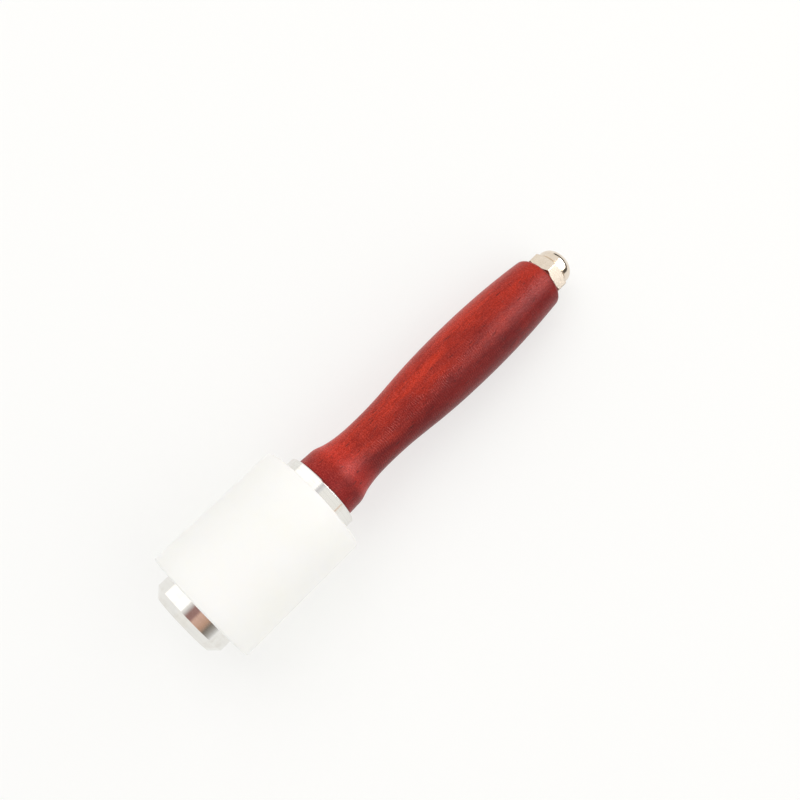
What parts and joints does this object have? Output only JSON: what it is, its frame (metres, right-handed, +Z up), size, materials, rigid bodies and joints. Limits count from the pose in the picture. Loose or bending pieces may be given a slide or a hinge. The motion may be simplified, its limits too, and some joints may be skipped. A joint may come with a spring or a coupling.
{
  "type": "leather carving mallet",
  "caption": "Turned carving mallet: cylindrical nylon striking head with a metal end cap and collar, and a waisted wooden handle clamped on a hidden rod by a domed cap nut.",
  "frame": {"origin": "on the level surface that the mallet lies on, under the middle of its bounding box", "axes": "+X from the striking head towards the cap nut in the horizontal, +Z up; the mallet's own axis lies in the XZ plane and falls 5.5 degrees towards the nut, as it does at rest"},
  "size_m": [0.1958, 0.045, 0.0495],
  "materials": {
    "turned_metal": "bright turned face and rim with fine lathe lines",
    "nylon": "machined natural nylon, satin, slightly translucent",
    "lacquered_wood": "red-stained fine-grained wood under semi-gloss lacquer",
    "rod_steel": "zinc-plated threaded bar, hidden",
    "nickel": "polished nickel plate"
  },
  "bodies": {
    "root": {"end_cap": "turned_metal", "striking_head": "nylon", "collar": "turned_metal", "handle": "lacquered_wood", "tie_rod": "rod_steel", "cap_nut": "nickel"}
  },
  "joints": []
}
